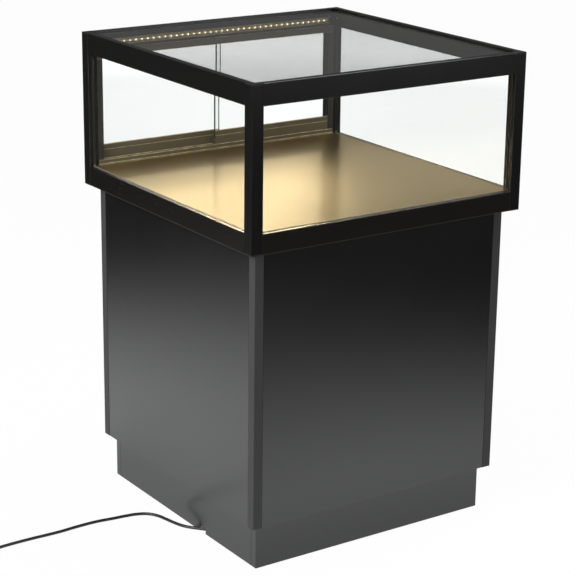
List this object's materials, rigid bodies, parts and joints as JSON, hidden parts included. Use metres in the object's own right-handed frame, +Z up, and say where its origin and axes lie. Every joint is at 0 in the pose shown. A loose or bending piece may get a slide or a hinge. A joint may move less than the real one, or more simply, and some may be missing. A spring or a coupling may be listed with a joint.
{
  "type": "pedestal display case",
  "caption": "Square glass display case with black metal posts and rails, a lit rear top rail and sliding rear doors, on a panelled pedestal with a recessed plinth and a mains cord.",
  "frame": {"origin": "on the floor, under the middle of the plinth and of the case", "axes": "+Z up, +Y towards the sliding doors at the rear, +X to the right of someone at the viewing side, which is -Y"},
  "size_m": [1.0378, 0.61, 0.927],
  "materials": {
    "frame": "satin black anodised extrusion",
    "body_post": "matte black anodised extrusion",
    "panel": "satin black laminate on board",
    "deck": "satin gold laminate on board",
    "board": "raw fibreboard",
    "glass": "clear polished",
    "rubber": "black",
    "cord": "smooth black sheath",
    "black_plastic": "satin black",
    "nylon": "natural nylon",
    "steel": "zinc plated",
    "track": "dark bronze anodised extrusion",
    "circuit_strip": "solder mask",
    "led": "lit warm white",
    "driver_case": "light grey moulding",
    "pin_brass": "plain"
  },
  "bodies": {
    "case": {"post_front_left": "frame", "post_front_right": "frame", "post_rear_left": "frame", "post_rear_right": "frame", "top_rail_front": "frame", "top_rail_rear": "frame", "top_rail_left": "frame", "top_rail_right": "frame", "bottom_rail_front": "frame", "bottom_rail_rear": "frame", "bottom_rail_left": "frame", "bottom_rail_right": "frame", "post_caps": "black_plastic", "rail_locks": "steel", "lock_screws": "steel", "top_glass": "glass", "front_glass": "glass", "left_glass": "glass", "right_glass": "glass", "seals_and_tapes": "rubber", "upper_door_track": "track", "lower_door_track": "track", "door_jambs": "track", "led_bar": "track", "led_board": "circuit_strip", "led_chips": "led", "led_end_caps": "black_plastic", "led_lead": "cord", "led_driver": "driver_case", "deck_panel": "deck", "deck_battens": "board", "case_floor": "board", "body_post_front_left": "body_post", "body_post_front_right": "body_post", "body_post_rear_left": "body_post", "body_post_rear_right": "body_post", "body_panel_front": "panel", "body_panel_rear": "panel", "body_panel_left": "panel", "body_panel_right": "panel", "pedestal_top": "board", "pedestal_bottom": "board", "plinth_front": "panel", "plinth_rear": "panel", "plinth_left": "panel", "plinth_right": "panel", "plinth_blocks": "board", "pedestal_screws": "steel", "cord_strain_relief": "cord", "power_cord": "cord", "cord_coil": "cord", "cord_tie": "black_plastic", "cord_plug": "cord", "plug_pins": "pin_brass"},
    "left_door": {"left_door_glass": "glass", "left_door_shoe": "track", "left_door_glides": "nylon"},
    "right_door": {"right_door_glass": "glass", "right_door_shoe": "track", "right_door_glides": "nylon"}
  },
  "joints": [
    {"name": "left_door_slide", "type": "slide", "parent": "case", "child": "left_door", "axis": [1, 0, 0], "range_m": [0, 0.269]},
    {"name": "right_door_slide", "type": "slide", "parent": "case", "child": "right_door", "axis": [1, 0, 0], "range_m": [-0.269, 0]}
  ]
}
